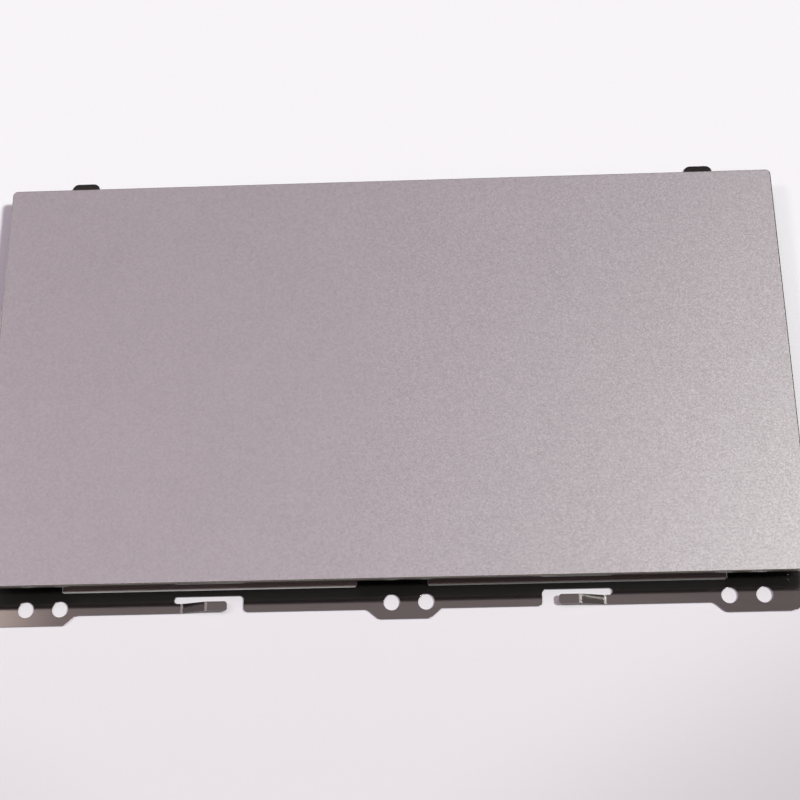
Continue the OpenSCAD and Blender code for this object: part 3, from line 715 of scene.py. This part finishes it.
def ground_arm(side):
    """A grounding arm: a strip with two real bends, a rounded free end and rolled edges."""
    name = "ground_arm_" + side
    low, high = node_box(name)
    sign = 1 if side == "right" else -1
    tip, root = sorted((abs(low.x), abs(high.x)))
    sheet, foot, slope, end_r = 0.3, 0.19, 3.83, 0.45
    reach, rise = root - tip, high.z - sheet
    line = bent([(0.0, 0.0), (foot, 0.0), (slope, rise), (reach, rise)], 0.1)[:-1]
    line += [(reach - end_r + end_r * math.sin(math.radians(90 * k / 8)), rise) for k in range(9)]

    def round_end(run):
        into = max(run - (reach - end_r), 0.0)
        return end_r - math.sqrt(max(end_r ** 2 - into ** 2, 0.0))

    bm = bmesh.new()
    strip(bm, line, low.y, high.y, sheet, lambda run, across, height: (sign * (root - run), across, height),
          ease=0.04, drawn_in=round_end)
    creases = [sign * (root - foot), sign * (root - slope)]
    steel = black_nickel(name + "_nickel", (0.30, 0.275, 0.268), set_until=90.0, creases=creases)
    fitted(name + "_pressed", bm, [steel], "arm_" + side, "bracket_steel", name)


def hinge_leaf(side, finish):
    """A spring leaf with two real bends, riveted at its foot and taped at its top."""
    name = "hinge_leaf_" + side
    low, high = node_box(name)
    thick, foot, rising = 0.2, 4.0, 2.2
    upper = high.z - thick
    corners = [(low.y, low.z), (low.y + foot, low.z), (low.y + foot + rising, upper), (high.y, upper)]
    bm = bmesh.new()
    strip(bm, bent(corners, 0.55), low.x, high.x, thick, lambda run, across, height: (across, run, height))
    fitted(name + "_bent", bm, [finish], "bracket", "spring_steel", name)


def rivets(finish):
    """Domed rivets with a set mark on the head and a flattened tail."""
    bm = bmesh.new()
    for low, high in islands("leaf_rivets"):
        shank, rim, head, top = 0.75, 1.3, 0.5, high.z
        turned(bm, (low.x + high.x) / 2, (low.y + high.y) / 2, [
            (0.0, 0.03), (0.45, 0.03), (0.52, 0.0), (shank - 0.05, 0.0), (shank, 0.04), (shank, head),
            (rim - 0.04, head), (rim, head + 0.06), (rim - 0.06, head + 0.22), (rim - 0.25, head + 0.36),
            (0.72, top), (0.5, top), (0.44, top - 0.06), (0.0, top - 0.07)])
    fitted("set_rivets", bm, [finish], "bracket", "rivet_steel", "leaf_rivets")


def striker():
    """Turned brass stud that the switch clicks against, with a broken edge and a faint crown."""
    low, high = node_box("striker_stud")
    middle, r, top = Vector((0.0, (low.y + high.y) / 2)), (high.x - low.x) / 2, high.z
    shank, sheet = 1.0, 0.3
    bm = bmesh.new()
    turned(bm, middle.x, middle.y, [
        (0.0, 0.02), (shank - 0.15, 0.02), (shank - 0.05, 0.0), (shank, 0.03), (shank, sheet),
        (r - 0.08, sheet), (r, sheet + 0.08), (r, top - 0.16), (r - 0.05, top - 0.06),
        (r - 0.16, top - 0.008), (r - 0.5, top), (0.0, top)], count=64)
    fitted("turned_striker", bm, [turned_brass(middle)], "bracket", "striker_brass", "striker_stud")


def bracket_parts():
    """The bracket and what is fixed to it."""
    nickel = black_nickel("bracket_nickel", (0.30, 0.272, 0.265), set_until=29.0)
    eased("bracket_plate", 0.04, nickel, "bracket_steel")
    for side in ("left", "right"):
        ground_arm(side)
    leaf = bright_steel("leaf_steel", (0.56, 0.55, 0.53), 0.2, along=(8.0, 0.15, 0.15))
    for side in ("left", "right"):
        hinge_leaf(side, leaf)
    rivets(bright_steel("rivet_steel", (0.58, 0.57, 0.56), 0.3, along=(3.0, 3.0, 3.0)))
    striker()
    rubber = moulded("stop_rubber", (0.020, 0.020, 0.021), 0.78, grain=0.2, depth=0.012)
    eased("stop_pads", 0.25, rubber, "stop_rubber")
    dress("bracket_film", black_film())


def board_routes(board):
    """Copper lines under the mask, as the board would be routed: a bus from socket to controller and a fan of
    sense lines from the controller's other sides. Gives the places where the fan ends."""
    low, high = node_box("touch_controller")
    cx, cy = (low.x + high.x) / 2, (low.y + high.y) / 2
    left, right, out, lap = cx - CHIP_HALF, cx + CHIP_HALF, CHIP_HALF + 0.45, 0.1
    bus, fan = [], []
    contacts = islands("socket_contacts")
    last, half = len(contacts) - 1, len(contacts) / 2
    first_lane, lane_pitch, stagger = -5.3, 0.62, 0.28
    for k, (low, high) in enumerate(contacts):
        x, tail, lane, drop = (low.x + high.x) / 2, low.y, first_lane + lane_pitch * k, stagger * (last - k)
        turn, start = left - 3.4 - 0.4 * abs(k - half), cy + LEAD_PLACES[k + 1]
        bus.append([(x, tail + 0.2), (x, tail - 0.5 - drop), (x - 0.9, tail - 1.4 - drop),
                    (x - 0.9, lane + 1.0), (x + 0.1, lane), (turn, lane), (turn + abs(start - lane), start),
                    (left + lap, start)])
    fan_pitch, fan_neck, fan_end, side_jog, side_end = 1.55, 11.2, 20.6, 7.0, 48.6
    early, late = 0.12, 0.88
    for k, place in enumerate(LEAD_PLACES):
        off = k - (len(LEAD_PLACES) - 1) / 2
        spread, reach = off * fan_pitch, fan_neck - 0.4 * abs(off)
        shift = spread - place
        near = cx + place + shift * early
        for side in (-1, 1):
            fan.append([(cx + place, cy + side * (CHIP_HALF - lap)), (cx + place, cy + side * out),
                        (near, cy + side * (out + abs(shift) * early)), (near, cy + side * reach),
                        (cx + spread, cy + side * (reach + abs(shift) * late)),
                        (cx + spread, cy + side * fan_end)])
        y, wide, start = cy + place, abs(spread), right + 0.5 + 0.1 * abs(off)
        first, second = (y + math.copysign(0.4 + wide * share, spread) for share in (0.2, 0.7))
        fan.append([(right - lap, y), (start, y), (start + 0.4 + wide * 0.2, first),
                    (right + side_jog, first), (right + side_jog + wide * 0.5, second), (side_end, second)])
    bm = bmesh.new()
    for line in bus + fan:
        ribbon(bm, line, width=0.2, top=board + 0.02, bottom=board - 0.016)
    fitted("routed_lines", bm, [mask_over_copper()], "pad", "board")
    return [line[-1] for line in fan]


def plated_pads(board, fan_ends):
    """Plated holes at the ends of the fan and in rows, and round test pads."""
    bm = bmesh.new()
    sunk, face = board + 0.02, board - 0.022
    for x, y in fan_ends:
        ring(bm, x, y, outer=0.34, inner=0.15, top=sunk, bottom=face)
    random.seed(11)
    for x in range(-46, -28, 3):
        for y in (-14.0, -11.5, 16.5):
            ring(bm, x + random.uniform(-0.5, 0.5), y, outer=0.3, inner=0.13, top=sunk, bottom=face)
    test_pads, r = [(x, y) for y in (4.0, 8.0) for x in (-44.0, -40.5, -37.0)], 0.8
    for x, y in test_pads + [(-33.0, 14.5), (40.5, 17.5), (44.0, 17.5)]:
        turned(bm, x, y, [(r, sunk), (r, board - 0.015), (r - 0.04, face), (0.0, face)], count=32)
    gold = bright_steel("pad_gold", (0.78, 0.56, 0.24), 0.24, along=(3.0, 3.0, 1.0))
    fitted("plated_pads", bm, [gold], "pad", "gold_contact")


def printed_outlines(board):
    """White corner marks printed round the larger parts, and a dot at the controller's first lead."""
    bm = bmesh.new()
    sunk, face = board + 0.02, board - 0.012

    def corner_marks(low, high, gap, arm):
        for y, along_y in ((low.y - gap, arm), (high.y + gap, -arm)):
            for x, along_x in ((low.x - gap, arm), (high.x + gap, -arm)):
                corner = [(x + along_x, y), (x, y), (x, y + along_y)]
                ribbon(bm, corner, width=0.16, top=sunk, bottom=face)

    low, high = node_box("touch_controller")
    corner_marks(low, high, gap=0.45, arm=1.2)
    corner_marks(*node_box("socket_housing"), gap=0.35, arm=1.4)
    for box in islands("small_chips"):
        corner_marks(*box, gap=0.22, arm=0.6)
    dot = 0.22
    turned(bm, low.x - 0.9, high.y + 0.35, [(dot, sunk), (dot, face), (0.0, face)], count=20)
    ink = moulded("white_ink", (0.72, 0.72, 0.70), 0.55, grain=0.1, depth=0.002)
    fitted("printed_outlines", bm, [ink], "pad", "board")


def controller(board, tin):
    """The touch controller: its solid with broken edges, tinned leads, and a line of solder at every lead."""
    low, high = node_box("touch_controller")
    middle = (low + high) / 2
    eased("touch_controller", 0.03, chip_with_leads(middle), "chip")
    bm = bmesh.new()
    bead = {"width": 0.3, "reach": 0.24, "height": 0.14}
    for place in LEAD_PLACES:
        for side, end in ((-1, low), (1, high)):
            solder_fillet(bm, middle.x + place, end.y, (0, side), board, **bead)
            solder_fillet(bm, end.x, middle.y + place, (side, 0), board, **bead)
    fitted("controller_solder", bm, [tin], "pad", "tin")


def three_leg_chips(board, finishes):
    """Small chips: a body with drafted sides and three legs that bend down to the board."""
    bm = bmesh.new()
    half_w, half_d, leg, thick = 1.45, 0.8, 0.4, 0.13
    body, tinned = range(2)
    for low, high in islands("small_chips"):
        cx, cy = (low.x + high.x) / 2, (low.y + high.y) / 2
        reach, apart = high.y - cy, half_w * 2 / 3
        chunk(bm, (cx - half_w, cy - half_d, low.z), (cx + half_w, cy + half_d, board - 0.08), ease=0.06,
              material=body, draft=0.09)
        line = bent([(0.6, 0.52), (0.86, 0.52), (1.0, 0.0), (reach, 0.0)], 0.09, 4)
        for x, side in ((cx - apart, 1), (cx + apart, 1), (cx, -1)):
            strip(bm, line, x - leg / 2, x + leg / 2, thick,
                  lambda run, across, height: (across, cy + side * run, board - 0.02 - height),
                  material=tinned, ease=0.02)
            solder_fillet(bm, x, cy + side * reach, (0, side), board, width=leg + 0.12, reach=0.2, height=0.12,
                          material=tinned)
    fitted("three_leg_chips", bm, finishes, "pad", "chip", "small_chips")


def chip_parts(name, node, board, finishes, slot, cap, inset):
    """Small two-ended parts: a body between two tinned caps, each with its fillet of solder."""
    bm = bmesh.new()
    body, tinned = range(2)
    for low, high in islands(node):
        chunk(bm, (low.x + inset, low.y + cap * 0.6, low.z + inset),
              (high.x - inset, high.y - cap * 0.6, high.z - 0.02), ease=0.05, material=body)
        chunk(bm, low, (high.x, low.y + cap, high.z), ease=0.06, material=tinned)
        chunk(bm, (low.x, high.y - cap, low.z), high, ease=0.06, material=tinned)
        middle, wide, tall = (low.x + high.x) / 2, high.x - low.x, high.z - low.z
        for end, side in ((high.y - 0.02, 1), (low.y + 0.02, -1)):
            solder_fillet(bm, middle, end, (0, side), board, width=wide, reach=0.26, height=tall * 0.6,
                          material=tinned)
    fitted(name, bm, finishes, "pad", slot, node)


def plunger(finish):
    """The switch's plunger as one turned piece with a soft round tip and a collar."""
    low, high = node_box("switch_plunger")
    middle = (low + high) / 2
    under, over, stem, nub, collar, broken = 2.37, 2.59, 1.1, 0.55, 1.55, 0.03
    turns = [math.radians(a) for a in range(0, 91, 10)]
    tip = [(stem - nub + nub * math.sin(a), low.z + nub - nub * math.cos(a)) for a in turns]
    bm = bmesh.new()
    turned(bm, middle.x, middle.y, [
        (0.0, low.z), (0.3, low.z), *tip, (stem, under), (collar - broken, under), (collar, under + broken),
        (collar, over - broken), (collar - broken, over), (nub, over), (nub, high.z - broken),
        (nub - broken, high.z), (0.0, high.z)], count=48)
    fitted("turned_plunger", bm, [finish], "plunger", "plunger_resin", "switch_plunger")


def snap_dome(finish):
    """The switch's snap dome, a thin spring cap, built as it stands before the plunger flattens it."""
    low, high = node_box("switch_dome")
    x, y, rim, crown = (low.x + high.x) / 2, (low.y + high.y) / 2, (high.x - low.x) / 2, high.z - low.z
    thick, travel, steps = 0.08, 0.3, 12
    ball = (rim ** 2 + crown ** 2) / (2 * crown)
    inner_rim = math.sqrt((ball - thick) ** 2 - (ball - crown) ** 2)

    def cap(radius, edge):
        rows = [edge * k / steps for k in range(steps + 1)]
        return [(r, low.z + ball - math.sqrt(radius ** 2 - r ** 2)) for r in rows]

    bm = bmesh.new()
    turned(bm, x, y, cap(ball, rim) + cap(ball - thick, inner_rim)[::-1], count=48)
    dome = fitted("snap_dome", bm, [finish], "pad", "dome_steel", "switch_dome")
    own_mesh(dome)


def switch(board, tin):
    """The click switch: moulded base, pressed cover with staked corners, tinned feet with their solder."""
    eased("switch_base", 0.06, moulded("switch_base_resin", (0.06, 0.06, 0.065), 0.45), "switch_resin")
    eased("switch_cover", 0.03, bright_steel("cover_tin", (0.64, 0.63, 0.62), 0.2), "tin")
    low, high = node_box("switch_base")
    middle, cover, inset = (low.y + high.y) / 2, node_box("switch_cover")[0].z, 0.5
    stakes = bmesh.new()
    for x in (low.x + inset, high.x - inset):
        for y in (low.y + inset, high.y - inset):
            turned(stakes, x, y, [(0.26, cover + 0.02), (0.26, cover - 0.03), (0.22, cover - 0.08),
                                  (0.12, cover - 0.1), (0.0, cover - 0.1)], count=20)
    stake_resin = moulded("stake_resin", (0.05, 0.05, 0.055), 0.5)
    fitted("staked_corners", stakes, [stake_resin], "pad", "switch_resin")
    eased("switch_terminals", 0.03, tin, "tin")
    solder = bmesh.new()
    for low, high in islands("switch_terminals"):
        end, side = (high.y, 1) if low.y > middle else (low.y, -1)
        x = (low.x + high.x) / 2
        solder_fillet(solder, x, end, (0, side), board, width=0.86, reach=0.3, height=0.15)
    fitted("switch_solder", solder, [tin], "pad", "tin")
    snap_dome(bright_steel("dome_steel", (0.66, 0.65, 0.63), 0.16))
    plunger(moulded("plunger_resin", (0.75, 0.72, 0.68), 0.38))


def cable_socket(board, tin):
    """The flat-cable socket: moulded housing, gold contacts, anchors and a latch with finger ridges."""
    gold = bright_steel("contact_gold", (0.80, 0.58, 0.25), 0.2, along=(8.0, 0.5, 0.5))
    eased("socket_housing", 0.035, moulded("socket_resin", (0.70, 0.67, 0.58), 0.46), "socket_resin")
    eased("socket_contacts", 0.02, gold, "gold_contact")
    eased("socket_anchors", 0.03, tin, "tin")
    low, high = node_box("socket_housing")
    middle = (low.x + high.x) / 2
    solder = bmesh.new()
    for low, high in islands("socket_contacts"):
        x = (low.x + high.x) / 2
        solder_fillet(solder, x, low.y, (0, -1), board, width=0.26, reach=0.3, height=0.2)
    for low, high in islands("socket_anchors"):
        end, side = (high.x, 1) if low.x > middle else (low.x, -1)
        y, wide = (low.y + high.y) / 2, high.y - low.y
        solder_fillet(solder, end, y, (side, 0), board, width=wide, reach=0.3, height=0.15)
    fitted("socket_solder", solder, [tin], "pad", "tin")
    resin = moulded("latch_resin", (0.055, 0.040, 0.032), 0.42)
    eased("cable_latch", 0.05, resin, "latch_resin")
    low, high = node_box("cable_latch")
    margin, half, pitch, first, proud, sunk = 0.8, 0.07, 0.26, 0.28, 0.05, 0.08
    ridges = bmesh.new()
    for k in range(3):
        y = high.y - first - pitch * k
        chunk(ridges, (low.x + margin, y - half, low.z - proud),
              (high.x - margin, y + half, low.z + sunk), ease=0.03)
    fitted("latch_ridges", ridges, [resin], "latch", "latch_resin")


def board_parts():
    """The sensor board and everything on it."""
    board = node_box("sensor_board")[0].z
    tin = bright_steel("solder_tin", (0.64, 0.63, 0.62), 0.26, along=(2.0, 2.0, 2.0))
    dress("sensor_board", solder_mask())
    dress("plate_adhesive", moulded("adhesive_film", (0.02, 0.02, 0.02), 0.6))
    plated_pads(board, board_routes(board))
    printed_outlines(board)
    controller(board, tin)
    three_leg_chips(board, [moulded("chip_body", (0.022, 0.022, 0.023), 0.48, grain=0.08, depth=0.006), tin])
    ceramic = moulded("ceramic", (0.40, 0.29, 0.18), 0.36, grain=0.1)
    chip_parts("ceramic_capacitors", "capacitors", board, [ceramic, tin], "ceramic", cap=0.32, inset=0.03)
    glaze = moulded("resistor_glaze", (0.018, 0.018, 0.020), 0.28, grain=0.12)
    chip_parts("film_resistors", "resistors", board, [glaze, tin], "resistor", cap=0.22, inset=0.02)
    switch(board, tin)
    cable_socket(board, tin)
    eased("hinge_tapes", 0.03, moulded("tape", (0.10, 0.10, 0.10), 0.7, grain=0.3), "tape")


studio()
touch_plate()
bracket_parts()
board_parts()
